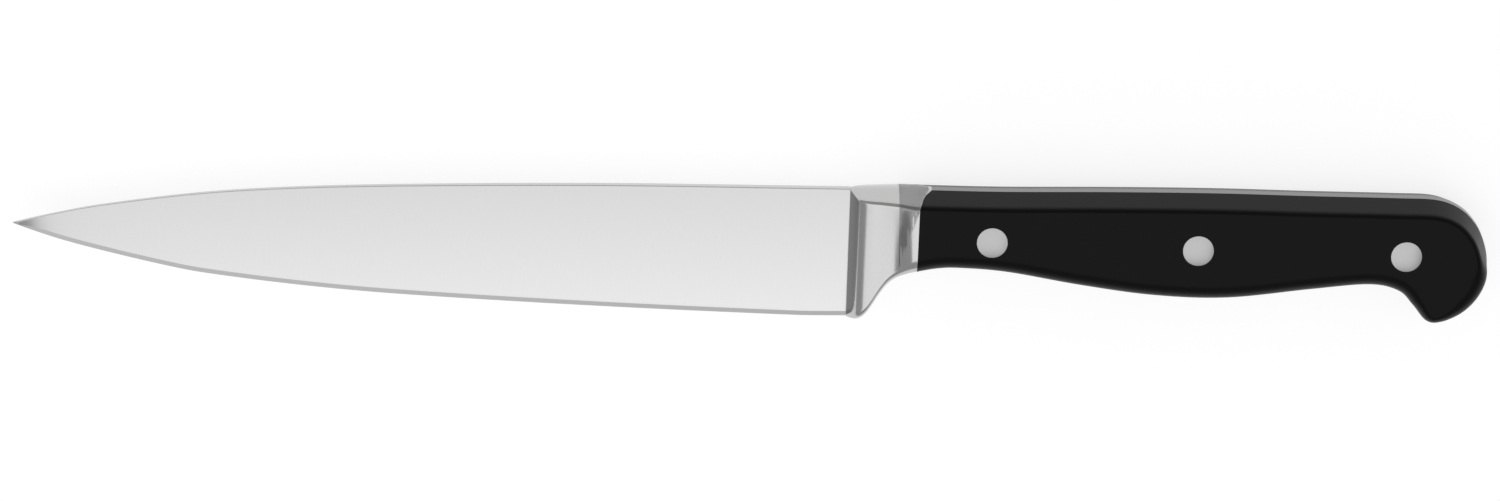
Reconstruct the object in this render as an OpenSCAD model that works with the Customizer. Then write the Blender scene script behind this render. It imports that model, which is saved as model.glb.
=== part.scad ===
// Carving knife. One forging holds the blade, the bolster and the full tang;
// two moulded scales are clamped on the tang by three two-part rivets.
// It lies on its right side: +X runs from tip to butt, +Y from edge to spine
// and +Z up through the thickness.

/* [Blade] */
// Length from the tip to the front of the bolster
blade_len = 160; // [145:1:180]
// Height of the blade at the heel
heel_h = 25.5; // [24:0.5:27]
// Thickness of the spine at the bolster
spine_t = 2; // [1.6:0.1:2.2]
// Thickness of the spine close to the tip
tip_t = 0.9; // [0.6:0.1:1.4]
// Thickness left at the cutting edge
edge_t = 0.12; // [0.08:0.02:0.3]
// Height of the ground bevel along the cutting edge
bevel_h = 0.9; // [0.5:0.1:1.5]

/* [Bolster] */
// How far the front of the bolster leans forward at the heel
front_lean = 0.8; // [0:0.1:1.5]

/* [Handle] */
// Thickness across both scales
handle_t = 16; // [14:0.5:18]
// Thickness of the tang
tang_t = 2.4; // [2:0.1:3]
// Fall of the crowned back from the tang to the side face
crown_drop = 1.6; // [1:0.1:2.2]
// Rounding of the belly's long edges
belly_r = 3.6; // [2:0.2:4]

/* [Rivets] */
// Diameter of a rivet's head
head_d = 6; // [5:0.1:7]
// Depth of a rivet's head in its scale
head_depth = 2.4; // [1.5:0.1:3]
// Outer diameter of a rivet's tube
tube_d = 4; // [3.4:0.1:4.4]
// Diameter of the pin that is pressed into the tube
pin_d = 2.2; // [1.6:0.1:2.6]

/* [Hidden] */
$fn = 64;
half_t = handle_t / 2;
half_tang = tang_t / 2;
hole_gap = 0.05;
tube_end_gap = 0.5;
pin_end_gap = 0.5;

// Outlines are [x, y] points in the knife's plane. x starts at the bolster's
// front and y at the line of the spine.
blade_x = blade_len / 160;
blade_y = heel_h / 25.5;
spine_line = [[-160, -6.8], [-153, -5.2], [-143.6, -3.4], [-124, -0.95], [-105, 0.2],
              [-80, 0.7], [-45, 0.77], [-10, 0.25], [0, 0.1]];
edge_line = [[-160, -6.95], [-156, -8.5], [-151, -10.2], [-143.6, -12.3], [-132, -15.2],
             [-124, -16.85], [-105, -19.4], [-86, -21.2], [-48, -23.6], [-10, -25.4], [0, -25.5]];
bolster_top = [[0, 0.1], [3, 0.15], [9, 0.2], [12, 0.05], [16.5, -0.15]];
bolster_bottom = [[0, -25.5], [1.5, -25.35], [2.6, -24.9], [3.6, -23.9], [4.6, -22.3], [5.6, -20.5],
                  [6.9, -18.5], [8, -17.3], [9.2, -16.5], [10.3, -16], [12, -15.4], [16.5, -14.6]];
bolster_width = [[0, 1.02], [0.5, 2.4], [1, 3.7], [1.6, 4.8], [2.4, 5.5], [4, 6], [6, 6.4],
                 [9.6, 7.25], [12.6, 8], [16.5, 8]];
// The handle's outline runs along the back, round the butt and the beak, and
// forward along the belly.
handle_points = [[12, 0.05], [16.5, -0.15], [30, -0.45], [50, -0.5], [70, -0.75], [88, -1.3],
                 [104, -1.7], [112, -2.1], [116.6, -4], [119.6, -7.2], [121.2, -10.8],
                 [121.8, -14.6], [121, -18.2], [119.2, -21.3], [116.4, -23.8], [112.8, -25.2],
                 [110, -24.9], [107.4, -21.8], [104.6, -19], [99, -17.75], [88, -18.7],
                 [72, -20.4], [58, -19.9], [44, -17.9], [30, -15.3], [21, -14.5],
                 [16.5, -14.6], [12, -15.4]];
steps = 4;
tang_start = handle_points[1][0];
joint_bottom = 12.6;
joint_top = 13.1;
joint_r = 2.3;
joint_y = -2.6;
// The beak is slimmer than the belly, so its edges have a smaller rounding.
beak_x = 111;
beak_reach = 8;
beak_ease = 0.45;
rivet_at = [[26.9, -8.6], [66.1, -10.2], [105.7, -11.4]];

// Slope of a point list at its i-th point, from its neighbours
function slope(p, i) =
    let (a = p[max(i - 1, 0)], b = p[min(i + 1, len(p) - 1)])
    (b[1] - a[1]) / (b[0] - a[0]);
// Number of the stretch that holds x
function stretch(p, x, i = 0) = i >= len(p) - 2 || x <= p[i + 1][0] ? i : stretch(p, x, i + 1);
// Height at x of the smooth curve through a point list
function curve(p, x) =
    let (i = stretch(p, x),
         w = p[i + 1][0] - p[i][0],
         t = (x - p[i][0]) / w)
    (2 * t ^ 3 - 3 * t ^ 2 + 1) * p[i][1] + (t ^ 3 - 2 * t ^ 2 + t) * slope(p, i) * w
        + (3 * t ^ 2 - 2 * t ^ 3) * p[i + 1][1] + (t ^ 3 - t ^ 2) * slope(p, i + 1) * w;
// Point at t on the i-th stretch of the smooth path through a point list
function path_at(p, i, t) =
    let (a = p[max(i - 1, 0)], b = p[i], c = p[i + 1], d = p[min(i + 2, len(p) - 1)])
    0.5 * (2 * b + (c - a) * t + (2 * a - 5 * b + 4 * c - d) * t ^ 2
        + (3 * b - a - 3 * c + d) * t ^ 3);
function path(p) = concat([for (i = [0:len(p) - 2], k = [0:steps - 1]) path_at(p, i, k / steps)],
                          [p[len(p) - 1]]);
function mix(a, b, t) = a + (b - a) * t;
function smooth(t) = let (u = min(max(t, 0), 1)) u * u * (3 - 2 * u);

handle_outline = path(handle_points);
tang_outline = [for (p = handle_outline) if (p[0] >= tang_start - 0.001) p];
all_y = concat([for (p = handle_outline) p[1]], [for (p = spine_line) p[1]],
               [for (p = bolster_top) p[1]], [-heel_h]);
butt_x = max([for (p = handle_outline) p[0]]);
centre_x = (butt_x - blade_len) / 2;
centre_y = (max(all_y) + min(all_y)) / 2;

// A side of the handle is a stack of levels. Each level has a depth from the
// middle plane and is drawn in from the outline, by a straight crown and a
// small edge along the back, and by a round along the belly.
turns = [0, 30, 55, 75, 90];
edge_fall = [0, 0, 0, 0.28, 0.8];
levels = concat([half_tang, (half_tang + half_t - belly_r) / 2],
                [for (a = turns) half_t - belly_r * (1 - sin(a))]);
crown_in = [for (j = [0:6]) crown_drop * (levels[j] - half_tang) / (half_t - half_tang)
                            + (j < 2 ? 0 : edge_fall[j - 2])];
belly_in = concat([0, 0], [for (a = turns) belly_r * (1 - cos(a))]);

// Faces of a loft through rings of m points each
function ring_faces(rings, m, flip) =
    [for (i = [0:rings - 2], j = [0:m - 1])
        let (a = i * m + j, b = i * m + (j + 1) % m, c = a + m, d = b + m)
        each flip ? [[a, c, d], [a, d, b]] : [[a, b, d], [a, d, c]]];

// Half sections run from the spine to the edge, as [y, z] points
function blade_half(x) =
    let (u = 1 + x / blade_len,
         y1 = curve(spine_line, x / blade_x),
         y0 = curve(edge_line, x / blade_x) * blade_y,
         t = min(mix(tip_t, spine_t, u ^ 0.8) / 2, 0.1 + 0.35 * (x + blade_len)),
         c = min(0.25, 0.3 * t, 0.3 * (y1 - y0)),
         b = min(bevel_h, 0.25 * (y1 - y0)),
         tb = mix(edge_t / 2, t, 0.12))
    concat([[y1, 0.35 * t], [y1, 0.6 * t]],
           [for (a = turns) [y1 - c * (1 - cos(a)), t - c * (1 - sin(a))]],
           [[mix(y1 - c, y0 + b, 0.5), mix(t, tb, 0.46)]],
           [for (j = [6:-1:0]) [mix(y0, y0 + b, j / 6), mix(edge_t / 2, tb, j / 6)]]);
function bolster_half(x) =
    let (k = min(curve(bolster_width, x), 8) / 8,
         y1 = curve(bolster_top, x),
         y0 = x < 3 ? curve(bolster_bottom, x) * blade_y : curve(bolster_bottom, x),
         kb = k * mix(0.9, 1, smooth((x - 8) / 4)),
         ke = min(k, mix(0.55, 1, smooth((x - 8) / 4))))
    concat([for (j = [0:6]) [y1 - crown_in[j] * k, levels[j] * k]],
           [[mix(y1, y0, 0.5), half_t * mix(k, kb, 0.4)]],
           [for (j = [6:-1:0]) [y0 + belly_in[j] * ke, levels[j] * kb]]);
// Full ring at x, leaning forward toward the heel near the bolster's front
function ring_at(x, half) =
    let (lean = front_lean * max(0, x < 0 ? 1 + x / 25 : 1 - x / 12))
    concat([for (p = half) [x + lean * min(p[0], 0) / heel_h, p[0], p[1]]],
           [for (i = [len(half) - 1:-1:0])
               let (p = half[i]) [x + lean * min(p[0], 0) / heel_h, p[0], -p[1]]]);

blade_steps = 34;
bolster_x = [0.25, 0.5, 0.8, 1.2, 1.6, 2, 2.4, 3, 3.6, 4.1, 4.6, 5.1, 5.6, 6.2, 6.9, 8, 9.2, 10.6,
             12, 12.6, 14, tang_start];
forging_rings = concat(
    [for (i = [0:blade_steps]) let (x = -blade_len * (1 - (i / blade_steps) ^ 1.3))
        ring_at(x, blade_half(x))],
    [for (x = bolster_x) ring_at(x, bolster_half(x))]);

// Blade and bolster in one loft, closed by a fan at each end
module blade_and_bolster() {
    rings = forging_rings;
    m = len(rings[0]);
    last = (len(rings) - 1) * m;
    hub = 7;
    polyhedron(
        points = [for (r = rings) each r],
        faces = concat(ring_faces(len(rings), m, true),
                       [for (j = [1:m - 2]) [hub, (hub + j) % m, (hub + j + 1) % m]],
                       [for (j = [1:m - 2])
                           [last + hub, last + (hub + j + 1) % m, last + (hub + j) % m]]));
}

// Everything behind the joint between bolster and scales, as a flat region
module behind_joint() {
    corner = [for (a = [0:20:60]) [joint_top + joint_r * (1 - cos(a)), joint_y + joint_r * sin(a)]];
    polygon(concat([[joint_bottom, -40], [joint_bottom, -16]], corner,
                   [[joint_top + joint_r, joint_y + 1.5 * joint_r], [joint_top + joint_r, 10],
                    [200, 10], [200, -40]]));
}

module forging() {
    color("lightgray") placed() {
        difference() {
            blade_and_bolster();
            for (side = [0, 1]) mirror([0, 0, side])
                translate([0, 0, half_tang]) linear_extrude(half_t) behind_joint();
        }
        difference() {
            translate([0, 0, -half_tang]) linear_extrude(tang_t) polygon(tang_outline);
            for (at = rivet_at) translate([at[0], at[1], -tang_t])
                cylinder(h = 2 * tang_t, d = tube_d + 4 * hole_gap);
        }
    }
}

// Outward direction of the outline at its i-th point
function outward(p, i) =
    i == 0 ? [0, 1] : i == len(p) - 1 ? [0, -1] :
    let (t = p[i + 1] - p[i - 1]) [-t[1], t[0]] / norm(t);
// A point of the outline drawn in for level j
function drawn_in(p, i, j) =
    let (n = outward(p, i),
         belly = smooth((0.35 - n[1]) / 0.7),
         ease = 1 - beak_ease * smooth(1 - abs(p[i][0] - beak_x) / beak_reach))
    p[i] - n * mix(crown_in[j], belly_in[j] * ease, belly);

module scale_blank() {
    p = handle_outline;
    n = len(p);
    mid = (n - 1) / 2;
    top = 6 * n;
    polyhedron(
        points = [for (j = [0:6], i = [0:n - 1]) let (q = drawn_in(p, i, j)) [q[0], q[1], levels[j]]],
        faces = concat(
            ring_faces(7, n, false),
            [for (i = [0:mid - 2]) each [[top + i, top + i + 1, top + n - 2 - i],
                                         [top + i, top + n - 2 - i, top + n - 1 - i]]],
            [[top + mid - 1, top + mid, top + mid + 1]],
            [for (i = [0:mid - 2]) each [[i, n - 2 - i, i + 1], [i, n - 1 - i, n - 2 - i]]],
            [[mid - 1, mid + 1, mid]]));
}

// One scale, with a counterbored hole for each rivet
module scale(side) {
    color([0.11, 0.11, 0.12]) placed() mirror([0, 0, side]) difference() {
        intersection() {
            scale_blank();
            linear_extrude(handle_t) behind_joint();
        }
        for (at = rivet_at) translate([at[0], at[1], 0]) {
            cylinder(h = handle_t, d = tube_d + 2 * hole_gap);
            translate([0, 0, half_t - head_depth]) cylinder(h = handle_t, d = head_d);
        }
    }
}

// A rivet's outer half: head and tube, with a blind bore for the pin
module rivet_tube(at) {
    color("silver") placed() translate([at[0], at[1], 0]) difference() {
        union() {
            translate([0, 0, half_t - head_depth]) cylinder(h = head_depth, d = head_d);
            translate([0, 0, head_depth - half_t + tube_end_gap])
                cylinder(h = handle_t - 2 * head_depth, d = tube_d);
        }
        translate([0, 0, -half_t]) cylinder(h = handle_t - head_depth, d = pin_d);
    }
}

// A rivet's inner half: head and solid pin
module rivet_pin(at) {
    color("silver") placed() translate([at[0], at[1], -half_t]) {
        cylinder(h = head_depth, d = head_d);
        cylinder(h = handle_t - head_depth - pin_end_gap, d = pin_d);
    }
}

// Moves the knife from its own plane to rest on its right side
module placed() {
    translate([-centre_x, -centre_y, half_t]) children();
}

forging();
scale(0);  // scale_left
scale(1);  // scale_right
rivet_tube(rivet_at[0]);  // rivet_front_tube
rivet_pin(rivet_at[0]);  // rivet_front_pin
rivet_tube(rivet_at[1]);  // rivet_middle_tube
rivet_pin(rivet_at[1]);  // rivet_middle_pin
rivet_tube(rivet_at[2]);  // rivet_rear_tube
rivet_pin(rivet_at[2]);  // rivet_rear_pin
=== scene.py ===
"""Studio picture of a carving knife that lies on its side on a pale floor.

Lengths are in millimetres and angles in degrees, unless a comment says otherwise. The knife's
own coordinates start at the front of the bolster: x runs toward the butt, y rises from the line
of the spine, and z stands out of the middle plane.
"""

import logging
import math
from dataclasses import dataclass, field
from enum import Enum

import bpy
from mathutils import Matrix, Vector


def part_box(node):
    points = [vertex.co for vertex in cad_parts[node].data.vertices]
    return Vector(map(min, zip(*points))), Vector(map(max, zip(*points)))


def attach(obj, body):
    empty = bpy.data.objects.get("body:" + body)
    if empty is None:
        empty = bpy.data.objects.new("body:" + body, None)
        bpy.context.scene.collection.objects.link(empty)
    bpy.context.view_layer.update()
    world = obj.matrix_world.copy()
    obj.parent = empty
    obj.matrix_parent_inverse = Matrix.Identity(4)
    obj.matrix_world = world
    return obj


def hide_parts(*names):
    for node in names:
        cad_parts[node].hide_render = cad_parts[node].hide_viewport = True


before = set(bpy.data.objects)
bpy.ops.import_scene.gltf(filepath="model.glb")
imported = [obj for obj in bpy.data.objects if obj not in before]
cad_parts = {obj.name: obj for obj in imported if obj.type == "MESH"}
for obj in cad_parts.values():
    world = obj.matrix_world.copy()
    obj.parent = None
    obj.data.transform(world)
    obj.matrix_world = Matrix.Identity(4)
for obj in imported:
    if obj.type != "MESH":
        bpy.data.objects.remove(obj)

log = logging.getLogger("carving_knife")
MM = 0.001
BODY = "root"
SNAP = 1e-7
BEVEL_STEPS = 2
GRAIN_RELIEF = 0.02
WHITE = (1.0, 1.0, 1.0, 1.0)
Point = tuple[float, float]
Point3 = tuple[float, float, float]
Colour = tuple[float, float, float]
Ring = list[Point3]


class Side(Enum):
    """The knife's two faces, with the way that each one looks along Z."""

    LEFT = 1.0
    RIGHT = -1.0


def mix(a: float, b: float, t: float) -> float:
    """Blend from a to b as t goes from 0 to 1."""
    return a + (b - a) * t


def smooth(t: float) -> float:
    """Ease t from 0 to 1, held at both ends."""
    u = min(max(t, 0.0), 1.0)
    return u * u * (3.0 - 2.0 * u)


def sine(angle: float) -> float:
    """Sine of an angle in degrees."""
    return math.sin(math.radians(angle))


def cosine(angle: float) -> float:
    """Cosine of an angle in degrees."""
    return math.cos(math.radians(angle))


def curve(points: list[Point], x: float) -> float:
    """Height of the smooth curve through a list of points.

    Args:
        points: Points of the curve, in rising x.
        x: Where the height is wanted.

    Returns:
        The height at x.
    """
    def slope(i: int) -> float:
        """Slope at the i-th point, from its neighbours."""
        a, b = points[max(i - 1, 0)], points[min(i + 1, len(points) - 1)]
        return (b[1] - a[1]) / (b[0] - a[0])

    i = 0
    while i < len(points) - 2 and x > points[i + 1][0]:
        i += 1
    width = points[i + 1][0] - points[i][0]
    t = (x - points[i][0]) / width
    return ((2 * t**3 - 3 * t**2 + 1) * points[i][1]
            + (t**3 - 2 * t**2 + t) * slope(i) * width
            + (3 * t**2 - 2 * t**3) * points[i + 1][1]
            + (t**3 - t**2) * slope(i + 1) * width)


def path(points: list[Point], steps: int) -> list[Point]:
    """Smooth path through a list of points.

    Args:
        points: The points that the path goes through.
        steps: Stretches between each point and the next.

    Returns:
        The points along the path, from first to last.
    """
    out: list[Point] = []
    for i in range(len(points) - 1):
        a, b, c, d = (points[max(i - 1, 0)], points[i], points[i + 1],
                      points[min(i + 2, len(points) - 1)])
        for k in range(steps):
            t = k / steps
            out.append(tuple(
                0.5 * (2 * b[n] + (c[n] - a[n]) * t
                       + (2 * a[n] - 5 * b[n] + 4 * c[n] - d[n]) * t**2
                       + (3 * b[n] - a[n] - 3 * c[n] + d[n]) * t**3) for n in (0, 1)))
    out.append(points[-1])
    return out


def alone(obj: bpy.types.Object) -> None:
    """Select one object and make it active.

    Args:
        obj: The object.
    """
    bpy.ops.object.select_all(action="DESELECT")
    obj.select_set(True)
    bpy.context.view_layer.objects.active = obj


def face_outward(obj: bpy.types.Object) -> None:
    """Turn every face of a closed shell outward.

    Args:
        obj: The shell.
    """
    alone(obj)
    bpy.ops.object.mode_set(mode="EDIT")
    bpy.ops.mesh.select_all(action="SELECT")
    bpy.ops.mesh.normals_make_consistent(inside=False)
    bpy.ops.object.mode_set(mode="OBJECT")


def soften(obj: bpy.types.Object, angle: float) -> None:
    """Shade an object smooth, with a crisp line at every edge sharper than the angle."""
    alone(obj)
    bpy.ops.object.shade_smooth_by_angle(angle=math.radians(angle), keep_sharp_edges=True)


def join(name: str, parts: list[bpy.types.Object]) -> bpy.types.Object:
    """Join shells into one object.

    Args:
        name: The joined object's name.
        parts: The shells, of which the first one stays.

    Returns:
        The joined object.
    """
    alone(parts[0])
    for part in parts:
        part.select_set(True)
    bpy.ops.object.join()
    parts[0].name = name
    return parts[0]


def hand_over(piece: bpy.types.Object, node: str) -> None:
    """Let a piece stand for its solid and ride with the knife.

    Args:
        piece: The piece.
        node: The solid that it stands for.
    """
    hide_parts(node)
    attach(piece, BODY)


FORGING_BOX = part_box("forging")


@dataclass(frozen=True)
class Place:
    """Where the knife's own coordinates lie in the frame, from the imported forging."""

    tip_x: float = -160.0
    spine_y: float = 0.81
    middle_z: float = 8.0

    def at(self, x: float, y: float, z: float) -> Point3:
        """Frame position in metres of a point in the knife's own coordinates."""
        low, high = FORGING_BOX
        return (low[0] + (x - self.tip_x) * MM, high[1] + (y - self.spine_y) * MM,
                (z + self.middle_z) * MM)


PLACE = Place()


def loft(name: str, rings: list[Ring]) -> bpy.types.Object:
    """Closed shell through rings of equal count.

    Args:
        name: The new object's name.
        rings: Rings of points in the knife's own coordinates.

    Returns:
        The new object.
    """
    count = len(rings[0])
    verts = [PLACE.at(*p) for ring in rings for p in ring]
    faces: list[tuple[int, ...]] = []
    for i in range(len(rings) - 1):
        for j in range(count):
            k = (j + 1) % count
            faces.append((i * count + j, i * count + k, (i + 1) * count + k, (i + 1) * count + j))
    faces.append(tuple(range(count)))
    faces.append(tuple((len(rings) - 1) * count + j for j in range(count)))
    mesh = bpy.data.meshes.new(name)
    mesh.from_pydata(verts, [], faces)
    obj = bpy.data.objects.new(name, mesh)
    bpy.context.scene.collection.objects.link(obj)
    face_outward(obj)
    return obj


def slice_off(obj: bpy.types.Object, point: Point, away: Point) -> None:
    """Cut an object along a plane that stands square to the knife's plane, and close the cut.

    Args:
        obj: The object.
        point: A point of the cut, in the knife's own coordinates.
        away: Direction in which everything is removed.
    """
    alone(obj)
    bpy.ops.object.mode_set(mode="EDIT")
    bpy.ops.mesh.select_all(action="SELECT")
    bpy.ops.mesh.bisect(plane_co=PLACE.at(*point, 0.0), plane_no=(*away, 0.0), use_fill=True,
                        clear_outer=True, threshold=SNAP)
    bpy.ops.object.mode_set(mode="OBJECT")


def ease_edges(obj: bpy.types.Object, width: float, angle: float) -> None:
    """Round an object's sharp edges.

    Args:
        obj: The object.
        width: Width of the round.
        angle: Edges sharper than this are rounded.
    """
    alone(obj)
    bpy.ops.object.modifier_add(type="BEVEL")
    modifier = obj.modifiers[-1]
    modifier.width = width * MM
    modifier.segments = BEVEL_STEPS
    modifier.limit_method = "ANGLE"
    modifier.angle_limit = math.radians(angle)
    modifier.harden_normals = False
    bpy.ops.object.modifier_apply(modifier=modifier.name)


@dataclass(frozen=True)
class Finish:
    """A surface whose fine grain varies its tone, its gloss and its relief."""

    name: str
    colour: Colour
    roughness: float

    def start(self) -> tuple[bpy.types.Material, bpy.types.ShaderNode, bpy.types.ShaderNode]:
        """Start the material.

        Returns:
            The material, its shader, and the node that gives the place on the object.
        """
        material = bpy.data.materials.new(self.name)
        material.use_nodes = True
        nodes = material.node_tree.nodes
        return material, nodes["Principled BSDF"], nodes.new("ShaderNodeTexCoord")

    def grain_of(self, material: bpy.types.Material, noise: bpy.types.ShaderNode,
                 shades: tuple[float, float], stops: tuple[float, float], spread: float,
                 depth: float) -> bpy.types.ShaderNode:
        """Let a noise vary the gloss and the relief, and mix the tone from it.

        Args:
            material: The material.
            noise: The noise.
            shades: The colour's strength at the noise's low and high end.
            stops: Values of the noise at which these are reached.
            spread: How far the roughness goes up and down.
            depth: Strength of the relief.

        Returns:
            The node that gives the tone.
        """
        nodes, links = material.node_tree.nodes, material.node_tree.links
        shader = nodes["Principled BSDF"]
        tone = nodes.new("ShaderNodeValToRGB")
        for element, stop, shade in zip(tone.color_ramp.elements, stops, shades):
            element.position = stop
            element.color = (*[c * shade for c in self.colour], 1.0)
        links.new(noise.outputs["Fac"], tone.inputs["Fac"])
        gloss = nodes.new("ShaderNodeMapRange")
        gloss.inputs["To Min"].default_value = self.roughness - spread
        gloss.inputs["To Max"].default_value = self.roughness + spread
        links.new(noise.outputs["Fac"], gloss.inputs["Value"])
        links.new(gloss.outputs["Result"], shader.inputs["Roughness"])
        bump = nodes.new("ShaderNodeBump")
        bump.inputs["Strength"].default_value = depth
        bump.inputs["Distance"].default_value = GRAIN_RELIEF * MM
        links.new(noise.outputs["Fac"], bump.inputs["Height"])
        links.new(bump.outputs["Normal"], shader.inputs["Normal"])
        return tone


@dataclass(frozen=True)
class SteelFinish(Finish):
    """Ground or polished steel, with a grain of fine lines and painted shade that may darken it
    toward the spine.
    """

    grain: Point3
    depth: float
    spread: float
    # Painted shade: the colour's factor at the spine's height, 1.0 for none.
    painted_spine_shade: float = 1.0
    shades: tuple[float, float] = (0.94, 1.0)
    stops: tuple[float, float] = (0.3, 0.7)
    detail: float = 6.0
    fineness: float = 0.6

    def material(self) -> bpy.types.Material:
        """Build the steel.

        Returns:
            The material.
        """
        material, shader, place = self.start()
        nodes, links = material.node_tree.nodes, material.node_tree.links
        shader.inputs["Metallic"].default_value = 1.0
        stretch = nodes.new("ShaderNodeMapping")
        stretch.inputs["Scale"].default_value = self.grain
        links.new(place.outputs["Object"], stretch.inputs["Vector"])
        noise = nodes.new("ShaderNodeTexNoise")
        noise.inputs["Detail"].default_value = self.detail
        noise.inputs["Roughness"].default_value = self.fineness
        links.new(stretch.outputs["Vector"], noise.inputs["Vector"])
        tone = self.grain_of(material, noise, self.shades, self.stops, self.spread, self.depth)
        # Painted shade: the colour is scaled from full at the cutting edge's height down to a set
        # factor at the spine's height.
        height = nodes.new("ShaderNodeSeparateXYZ")
        links.new(place.outputs["Object"], height.inputs["Vector"])
        painted_shade_factor = nodes.new("ShaderNodeMapRange")
        painted_shade_factor.inputs["From Min"].default_value = FORGING_BOX[0][1]
        painted_shade_factor.inputs["From Max"].default_value = FORGING_BOX[1][1]
        painted_shade_factor.inputs["To Min"].default_value = 1.0
        painted_shade_factor.inputs["To Max"].default_value = self.painted_spine_shade
        links.new(height.outputs["Y"], painted_shade_factor.inputs["Value"])
        shade = nodes.new("ShaderNodeVectorMath")
        shade.operation = "SCALE"
        links.new(tone.outputs["Color"], shade.inputs[0])
        links.new(painted_shade_factor.outputs["Result"], shade.inputs["Scale"])
        links.new(shade.outputs["Vector"], shader.inputs["Base Color"])
        return material


@dataclass(frozen=True)
class PlasticFinish(Finish):
    """Moulded plastic with a soft sheen and a faint even grain."""

    grain: float
    sheen: float = 0.10
    depth: float = 0.12
    spread: float = 0.04
    shades: tuple[float, float] = (0.8, 1.2)
    stops: tuple[float, float] = (0.0, 1.0)
    detail: float = 3.0

    def material(self) -> bpy.types.Material:
        """Build the plastic.

        Returns:
            The material.
        """
        material, shader, place = self.start()
        nodes, links = material.node_tree.nodes, material.node_tree.links
        shader.inputs["Specular IOR Level"].default_value = self.sheen
        noise = nodes.new("ShaderNodeTexNoise")
        noise.inputs["Scale"].default_value = self.grain
        noise.inputs["Detail"].default_value = self.detail
        links.new(place.outputs["Object"], noise.inputs["Vector"])
        tone = self.grain_of(material, noise, self.shades, self.stops, self.spread, self.depth)
        links.new(tone.outputs["Color"], shader.inputs["Base Color"])
        return material


# The blade's colour is darkened to 0.84 toward the spine: painted shade.
SHADED_BLADE_STEEL = SteelFinish("blade_steel", (0.71, 0.71, 0.705), 0.30, (5200.0, 110.0, 110.0),
                          depth=0.10, spread=0.04, painted_spine_shade=0.84)
EDGE_STEEL = SteelFinish("edge_steel", (0.46, 0.46, 0.46), 0.34, (7000.0, 300.0, 300.0),
                         depth=0.16, spread=0.05)
BOLSTER_STEEL = SteelFinish("bolster_steel", (0.54, 0.54, 0.535), 0.20, (600.0, 900.0, 900.0),
                            depth=0.05, spread=0.03)
# The tang's steel is darkened far below the blade's: painted shade for the shade and dark
# reflection along its narrow strip between the scales.
SHADED_TANG_STEEL = SteelFinish("tang_steel_painted_shade", (0.24, 0.24, 0.24), 0.36, (260.0, 4000.0, 4000.0),
                         depth=0.12, spread=0.05)
RIVET_STEEL = SteelFinish("rivet_steel", (0.44, 0.44, 0.435), 0.30, (3800.0, 500.0, 500.0),
                          depth=0.10, spread=0.05)
SCALE_PLASTIC = PlasticFinish("scale_plastic", (0.003, 0.003, 0.0034), 0.36, grain=9000.0)


@dataclass
class Profile:
    """How a side of the handle and bolster is drawn in from its outline at each level."""

    half: float = 8.0
    half_tang: float = 1.2
    crown_drop: float = 1.6
    edge_round: float = 0.9
    belly_round: float = 3.6
    turns: list[float] = field(default_factory=lambda: [
        0.0, 15.0, 30.0, 42.0, 54.0, 63.0, 70.0, 76.0, 81.0, 86.0, 90.0])

    def levels(self) -> list[float]:
        """Find the levels at which the form is drawn.

        Returns:
            Their distances from the middle plane, from the tang outward.
        """
        start = self.half - self.belly_round
        arcs = [self.half - self.belly_round * (1 - sine(turn)) for turn in self.turns]
        return [self.half_tang, (self.half_tang + start) / 2, *arcs]

    def crown(self) -> list[float]:
        """Find how far each level lies inside the outline along the back.

        Returns:
            One distance for each level.
        """
        out = []
        for z in self.levels():
            gap = min(self.half - z, self.edge_round)
            fall = self.edge_round - math.sqrt(
                self.edge_round**2 - (self.edge_round - gap) ** 2)
            rise = (z - self.half_tang) / (self.half - self.half_tang)
            out.append(self.crown_drop * rise + fall)
        return out

    def belly(self) -> list[float]:
        """Distances by which each level lies inside the outline along the belly."""
        return [0.0, 0.0, *[self.belly_round * (1 - cosine(turn)) for turn in self.turns]]


@dataclass
class Joint:
    """Line where the scales meet the bolster, with its rounded upper corner."""

    bottom: Point = (12.6, -16.0)
    top: Point = (13.1, -2.6)
    radius: float = 2.3
    corner_turns: tuple[float, ...] = (18.0, 36.0, 54.0, 70.0)

    def cuts(self) -> list[tuple[Point, Point]]:
        """Find the planes of the joint, the long one first.

        Returns:
            For each plane, one of its points and the direction out of the scale.
        """
        run, rise = self.top[0] - self.bottom[0], self.top[1] - self.bottom[1]
        size = math.hypot(rise, run)
        planes = [(self.top, (-rise / size, run / size))]
        for turn in self.corner_turns:
            c, s = cosine(turn), sine(turn)
            point = (self.top[0] + self.radius * (1 - c), self.top[1] + self.radius * s)
            planes.append((point, (-c, s)))
        return planes


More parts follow.
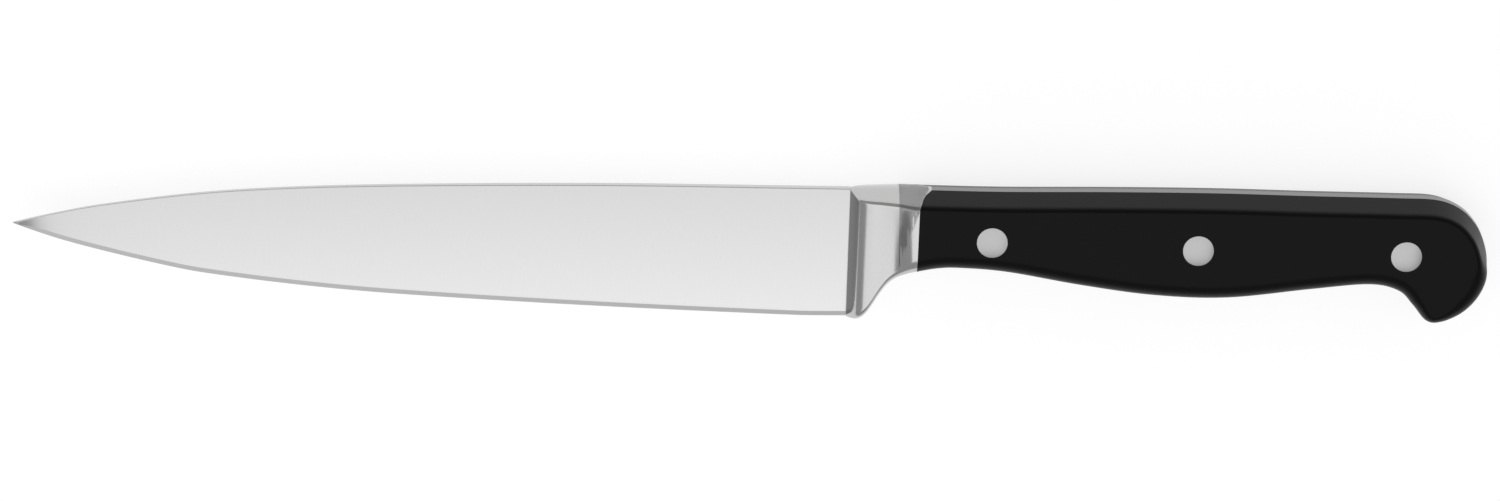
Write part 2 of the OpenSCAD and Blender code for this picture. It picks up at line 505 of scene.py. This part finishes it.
@dataclass
class Forging:
    """Blade, bolster and full tang, forged in one piece."""

    spine_line: list[Point] = field(default_factory=lambda: [
        (-160.0, -6.8), (-153.0, -5.2), (-143.6, -3.4), (-124.0, -0.95), (-105.0, 0.2),
        (-80.0, 0.7), (-45.0, 0.77), (-10.0, 0.25), (0.0, 0.1)])
    edge_line: list[Point] = field(default_factory=lambda: [
        (-160.0, -6.95), (-156.0, -8.5), (-151.0, -10.2), (-143.6, -12.3), (-132.0, -15.2),
        (-124.0, -16.85), (-105.0, -19.4), (-86.0, -21.2), (-48.0, -23.6), (-10.0, -25.4),
        (0.0, -25.5)])
    top_line: list[Point] = field(default_factory=lambda: [
        (0.0, 0.1), (3.0, 0.15), (9.0, 0.2), (12.0, 0.05), (16.5, -0.15)])
    bottom_line: list[Point] = field(default_factory=lambda: [
        (0.0, -25.5), (1.5, -25.35), (2.6, -24.9), (3.6, -23.9), (4.6, -22.3), (5.6, -20.5),
        (6.9, -18.5), (8.0, -17.3), (9.2, -16.5), (10.3, -16.0), (12.0, -15.4), (16.5, -14.6)])
    width_line: list[Point] = field(default_factory=lambda: [
        (0.0, 1.02), (0.5, 2.4), (1.0, 3.7), (1.6, 4.8), (2.4, 5.5), (4.0, 6.0), (6.0, 6.4),
        (9.6, 7.25), (12.6, 8.0), (16.5, 8.0)])

    # Section of the blade: its thickness at the spine, and what is ground at the edge.
    length: float = 160.0
    stations: int = 110
    crowding: float = 1.25
    spine: float = 2.0
    tip_spine: float = 0.9
    taper: float = 0.8
    point_half: float = 0.1
    point_growth: float = 0.35
    spine_round: float = 0.25
    spine_round_share: float = 0.3
    spine_crest: float = 0.3
    edge: float = 0.12
    bevel: float = 0.9
    bevel_share: float = 0.25
    bevel_thickness: float = 0.12
    spine_turns: tuple[float, ...] = (0.0, 22.0, 45.0, 68.0, 90.0)
    side_shares: tuple[float, ...] = (0.02, 0.25, 0.5, 0.75, 0.98)
    ground_shares: tuple[float, ...] = (0.0, 0.05, 0.5, 0.95, 1.0)

    # Forward lean of the heel, and how far it reaches into the blade and the bolster.
    lean: float = 0.8
    heel: float = 25.5
    lean_in_blade: float = 25.0
    lean_in_bolster: float = 12.0

    # Bolster: its rounded heel changes into the handle's section over a short stretch.
    change_start: float = 8.0
    change_length: float = 4.0
    heel_width: float = 0.9
    heel_round: float = 0.55
    flank_shares: tuple[float, ...] = (0.03, 0.35, 0.65, 0.97)
    swell_stations: tuple[float, ...] = (
        0.02, 0.08, 0.16, 0.26, 0.38, 0.5, 0.65, 0.8, 1.0, 1.2, 1.4, 1.6, 1.8, 2.0, 2.2, 2.4, 2.7)
    even_start: float = 3.0
    even_step: float = 0.25
    even_count: int = 54
    corner_rings: int = 30
    tang_start: float = 16.5

    # Tang: its front end lies inside the bolster, further back along the top.
    tang_front_top: float = 15.3
    tang_front_low: float = 12.7
    tang_split: float = -8.0

    blade_crease: float = 5.0
    crease: float = 32.0
    profile: Profile = field(default_factory=Profile)
    joint: Joint = field(default_factory=Joint)

    def ring(self, x: float, half: list[Point]) -> Ring:
        """Close a half section into a ring that leans forward toward the heel.

        Args:
            x: Place along the knife.
            half: Heights and half widths of the section.

        Returns:
            The ring.
        """
        reach = 1 + x / self.lean_in_blade if x < 0 else 1 - x / self.lean_in_bolster
        lean = self.lean * max(0.0, reach)
        near = [(x + lean * min(y, 0.0) / self.heel, y, z) for y, z in half]
        return near + [(a, b, -c) for a, b, c in reversed(near)]

    def blade_half(self, x: float) -> list[Point]:
        """Draw half the wedge-shaped section of the blade.

        Args:
            x: Place along the knife.

        Returns:
            Heights and half widths, from the spine to the cutting edge.
        """
        top, low = curve(self.spine_line, x), curve(self.edge_line, x)
        depth = top - low
        along = min(max(1 + x / self.length, 0.0), 1.0)
        half = min(mix(self.tip_spine, self.spine, along**self.taper) / 2,
                   self.point_half + self.point_growth * (x + self.length))
        round_off = min(self.spine_round, self.spine_round_share * half,
                        self.spine_round_share * depth)
        bevel = min(self.bevel, self.bevel_share * depth)
        half_edge = self.edge / 2
        half_bevel = mix(half_edge, half, self.bevel_thickness)
        arc = [(top - round_off * (1 - cosine(a)), half - round_off * (1 - sine(a)))
               for a in self.spine_turns]
        side = [(mix(top - round_off, low + bevel, k), mix(half, half_bevel, k))
                for k in self.side_shares]
        ground = [(mix(low + bevel, low, k), mix(half_bevel, half_edge, k))
                  for k in self.ground_shares]
        return [(top, self.spine_crest * half), *arc, *side, *ground]

    def bolster_half(self, x: float) -> list[Point]:
        """Draw half the section of the bolster.

        Args:
            x: Place along the knife.

        Returns:
            Heights and half widths, from the crowned top to the rounded heel.
        """
        full = self.profile.half
        swell = min(curve(self.width_line, x), full) / full
        top, low = curve(self.top_line, x), curve(self.bottom_line, x)
        change = smooth((x - self.change_start) / self.change_length)
        lower = swell * mix(self.heel_width, 1.0, change)
        round_off = min(swell, mix(self.heel_round, 1.0, change))
        levels = self.profile.levels()
        back = [(top - d * swell, z * swell) for d, z in zip(self.profile.crown(), levels)]
        belly = [(low + d * round_off, z * lower) for d, z in zip(self.profile.belly(), levels)]
        first, last = back[-1], belly[-1]
        flank = [(mix(first[0], last[0], s), mix(first[1], last[1], s))
                 for s in self.flank_shares]
        return [*back, *flank, *reversed(belly)]

    def blade(self) -> bpy.types.Object:
        """Loft the blade, with polished sides and a ground cutting edge.

        Returns:
            The blade.
        """
        places = [-self.length * (1 - (i / self.stations) ** self.crowding)
                  for i in range(self.stations + 1)]
        rings = [self.ring(x, self.blade_half(x)) for x in places]
        obj = loft("blade", rings)
        obj.data.materials.append(SHADED_BLADE_STEEL.material())
        obj.data.materials.append(EDGE_STEEL.material())
        count = len(rings[0])
        ground = count // 2 - len(self.ground_shares)
        for polygon in obj.data.polygons:
            corners = [v % count for v in polygon.vertices]
            at_edge = min(corners) >= ground and max(corners) < count - ground
            polygon.material_index = int(at_edge and len(corners) == 4)
        soften(obj, self.blade_crease)
        return obj

    def bolster(self) -> bpy.types.Object:
        """Loft the bolster up to each plane of its joint with the scales.

        Returns:
            The bolster.
        """
        even = [self.even_start + self.even_step * i for i in range(self.even_count)]
        places = [*self.swell_stations, *even, self.tang_start]
        rings = [self.ring(x, self.bolster_half(x)) for x in places]
        shells: list[bpy.types.Object] = []
        for point, away in self.joint.cuts():
            shell = loft("bolster", rings[-self.corner_rings:] if shells else rings)
            slice_off(shell, point, (-away[0], -away[1]))
            shells.append(shell)
        obj = join("bolster", shells)
        obj.data.materials.append(BOLSTER_STEEL.material())
        soften(obj, self.crease)
        return obj

    def tang(self, outline: list[Point]) -> bpy.types.Object:
        """Cut the plate of the tang to the handle's outline.

        Args:
            outline: The handle's outline.

        Returns:
            The tang.
        """
        region = [(x, y) for x, y in outline
                  if x >= (self.tang_front_top if y > self.tang_split else self.tang_front_low)]
        half = self.profile.half_tang
        obj = loft("tang", [[(x, y, z) for x, y in region] for z in (-half, half)])
        # Painted shade: the tang gets the darkened steel.
        obj.data.materials.append(SHADED_TANG_STEEL.material())
        soften(obj, self.crease)
        return obj

    def build(self, outline: list[Point]) -> bpy.types.Object:
        """Build the whole forging and let it stand for its solid.

        Args:
            outline: The handle's outline, which the tang fills.

        Returns:
            The forging.
        """
        piece = join("forged_blade", [self.blade(), self.bolster(), self.tang(outline)])
        hand_over(piece, "forging")
        return piece


@dataclass
class Handle:
    """Two moulded scales with a hooked butt, and the rivets that hold them."""

    points: list[Point] = field(default_factory=lambda: [
        (12.0, 0.05), (16.5, -0.15), (30.0, -0.45), (50.0, -0.5), (70.0, -0.75), (88.0, -1.3),
        (104.0, -1.7), (112.0, -2.1), (116.6, -4.0), (119.6, -7.2), (121.2, -10.8),
        (121.8, -14.6), (121.0, -18.2), (119.2, -21.3), (116.4, -23.8), (112.8, -25.2),
        (110.0, -24.9), (107.4, -21.8), (104.6, -19.0), (99.0, -17.75), (88.0, -18.7),
        (72.0, -20.4), (58.0, -19.9), (44.0, -17.9), (30.0, -15.3), (21.0, -14.5),
        (16.5, -14.6), (12.0, -15.4)])
    steps: int = 8

    # The belly's round starts where the outline turns down, and is tighter at the beak.
    under_start: float = 0.35
    under_range: float = 0.7
    beak_x: float = 111.0
    beak_reach: float = 8.0
    beak_ease: float = 0.45

    # The scales' faces lie a hair under the rivet heads.
    face: float = 7.97
    scale_edge: float = 0.12

    rivets: dict[str, Point] = field(default_factory=lambda: {
        "front": (26.9, -8.6), "middle": (66.1, -10.2), "rear": (105.7, -11.4)})
    head_radius: float = 3.0
    head_depth: float = 2.4
    head_edge: float = 0.14
    tube_radius: float = 2.0
    pin_radius: float = 1.1
    shank_length: float = 10.0
    shank_overlap: float = 0.2
    round_sides: int = 72

    sharp: float = 50.0
    crease: float = 30.0
    profile: Profile = field(default_factory=Profile)
    joint: Joint = field(default_factory=Joint)

    def outline(self) -> list[Point]:
        """Outline along the back, round the butt and the beak, and forward along the belly."""
        return path(self.points, self.steps)

    def drawn_in(self, line: list[Point], i: int, level: int) -> Point:
        """Draw a point of the outline in for one level of a scale.

        Args:
            line: The outline.
            i: Number of the point.
            level: Number of the level, from the tang outward.

        Returns:
            The point on that level.
        """
        if i == 0:
            out = (0.0, 1.0)
        elif i == len(line) - 1:
            out = (0.0, -1.0)
        else:
            dx, dy = line[i + 1][0] - line[i - 1][0], line[i + 1][1] - line[i - 1][1]
            size = math.hypot(dx, dy)
            out = (-dy / size, dx / size)
        x, y = line[i]
        under = smooth((self.under_start - out[1]) / self.under_range)
        ease = 1 - self.beak_ease * smooth(1 - abs(x - self.beak_x) / self.beak_reach)
        inset = mix(self.profile.crown()[level], self.profile.belly()[level] * ease, under)
        return (x - out[0] * inset, y - out[1] * inset)

    def scale(self, side: Side) -> bpy.types.Object:
        """Mould one scale.

        Args:
            side: The side of the tang that it lies on.

        Returns:
            The scale.
        """
        line = self.outline()
        rings = [[(*self.drawn_in(line, i, j), side.value * min(z, self.face))
                  for i in range(len(line))] for j, z in enumerate(self.profile.levels())]
        obj = loft(f"handle_scale_{side.name.lower()}", rings)
        for point, away in self.joint.cuts():
            slice_off(obj, point, away)
        obj.data.materials.append(SCALE_PLASTIC.material())
        ease_edges(obj, self.scale_edge, self.sharp)
        soften(obj, self.crease)
        alone(obj)
        bpy.ops.object.modifier_add(type="WEIGHTED_NORMAL")
        obj.modifiers[-1].keep_sharp = True
        bpy.ops.object.modifier_apply(modifier=obj.modifiers[-1].name)
        hand_over(obj, f"scale_{side.name.lower()}")
        return obj

    def plug(self, at: Point, side: Side, radius: float, depth: float,
             lift: float) -> bpy.types.Object:
        """Turn a cylinder along the rivet's axis.

        Args:
            at: Its place in the knife's plane.
            side: The side that it looks to.
            radius: Its radius.
            depth: Its length.
            lift: How far its outer end stands beyond the handle's half thickness.

        Returns:
            The cylinder.
        """
        bpy.ops.object.select_all(action="DESELECT")
        middle = side.value * (self.profile.half + lift - depth / 2)
        bpy.ops.mesh.primitive_cylinder_add(vertices=self.round_sides, radius=radius * MM,
                                            depth=depth * MM, location=PLACE.at(*at, middle))
        obj = bpy.context.object
        bpy.ops.object.transform_apply(location=True, rotation=True, scale=True)
        return obj

    def rivet(self, where: str, side: Side) -> bpy.types.Object:
        """Make one half of a rivet: the tube on the left side, the pin on the right side.

        Args:
            where: Which of the rivets.
            side: The side that its head shows on.

        Returns:
            The half rivet.
        """
        at = self.rivets[where]
        half = "tube" if side is Side.LEFT else "pin"
        radius = self.tube_radius if side is Side.LEFT else self.pin_radius
        head = self.plug(at, side, self.head_radius, self.head_depth, 0.0)
        ease_edges(head, self.head_edge, self.sharp)
        shank = self.plug(at, side, radius, self.shank_length,
                          self.shank_overlap - self.head_depth)
        piece = join(f"rivet_{where}_{half}_head", [head, shank])
        piece.data.materials.clear()
        piece.data.materials.append(RIVET_STEEL.material())
        soften(piece, self.crease)
        hand_over(piece, f"rivet_{where}_{half}")
        return piece


@dataclass
class Studio:
    """Pale floor, soft light and the camera. Places and sizes of the light are in metres."""

    tilt: float = 17.0
    lens: float = 150.0
    sensor: float = 36.0
    near_limit: float = 0.01
    picture_width: float = 287.1
    aim: Point = (-19.14, -12.51)

    floor_size: float = 6.0
    floor_gap: float = 0.05
    floor_tone: float = 0.32
    floor_roughness: float = 0.9
    floor_glow: float = 0.80

    lamp_place: Point3 = (0.0, -0.35, 1.1)
    lamp_turn: float = -17.0
    lamp_size: float = 1.3
    lamp_power: float = 4.7

    wall_tone: Colour = (0.52, 0.52, 0.53)
    wall_strength: float = 0.8

    def floor(self) -> None:
        """Lay the pale floor, which glows a little so that its shadows stay faint."""
        bpy.ops.object.select_all(action="DESELECT")
        bpy.ops.mesh.primitive_plane_add(size=self.floor_size,
                                         location=(0.0, 0.0, -self.floor_gap * MM))
        floor = bpy.context.object
        floor.name = "floor"
        material = bpy.data.materials.new("pale_floor")
        material.use_nodes = True
        inputs = material.node_tree.nodes["Principled BSDF"].inputs
        inputs["Base Color"].default_value = (*[self.floor_tone] * 3, 1.0)
        inputs["Roughness"].default_value = self.floor_roughness
        inputs["Specular IOR Level"].default_value = 0.0
        inputs["Emission Color"].default_value = WHITE
        inputs["Emission Strength"].default_value = self.floor_glow
        floor.data.materials.append(material)

    def lamp(self) -> None:
        """Hang one square soft light overhead."""
        bpy.ops.object.select_all(action="DESELECT")
        bpy.ops.object.light_add(type="AREA", location=self.lamp_place,
                                 rotation=(math.radians(self.lamp_turn), 0.0, 0.0))
        light = bpy.context.object
        light.name = "overhead"
        light.data.shape = "SQUARE"
        light.data.size = self.lamp_size
        light.data.energy = self.lamp_power

    def walls(self) -> None:
        """Surround the knife with an even pale grey."""
        world = bpy.data.worlds.new("studio_walls")
        bpy.context.scene.world = world
        world.use_nodes = True
        back = world.node_tree.nodes["Background"]
        back.inputs["Color"].default_value = (*self.wall_tone, 1.0)
        back.inputs["Strength"].default_value = self.wall_strength

    def camera(self) -> None:
        """Set the camera above the spine's side, square to the knife's length."""
        target = PLACE.at(*self.aim, 0.0)
        distance = self.picture_width * MM * self.lens / self.sensor
        data = bpy.data.cameras.new("camera")
        data.lens = self.lens
        data.sensor_width = self.sensor
        data.clip_start = self.near_limit
        obj = bpy.data.objects.new("camera", data)
        obj.location = (target[0], target[1] + distance * sine(self.tilt),
                        target[2] + distance * cosine(self.tilt))
        obj.rotation_euler = (-math.radians(self.tilt), 0.0, 0.0)
        bpy.context.scene.collection.objects.link(obj)
        bpy.context.scene.camera = obj

    def build(self) -> None:
        """Set up the whole studio."""
        bpy.context.scene.view_settings.view_transform = "Standard"
        self.floor()
        self.lamp()
        self.walls()
        self.camera()


def main() -> None:
    """Build the knife and its studio in order."""
    logging.basicConfig(level=logging.INFO, format="%(name)s: %(message)s")
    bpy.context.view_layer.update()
    handle = Handle()
    pieces = [Forging().build(handle.outline())]
    for side in Side:
        pieces.append(handle.scale(side))
        pieces += [handle.rivet(where, side) for where in handle.rivets]
    for piece in pieces:
        log.info("%s has %d faces", piece.name, len(piece.data.polygons))
    Studio().build()


if __name__ == "__main__":
    main()
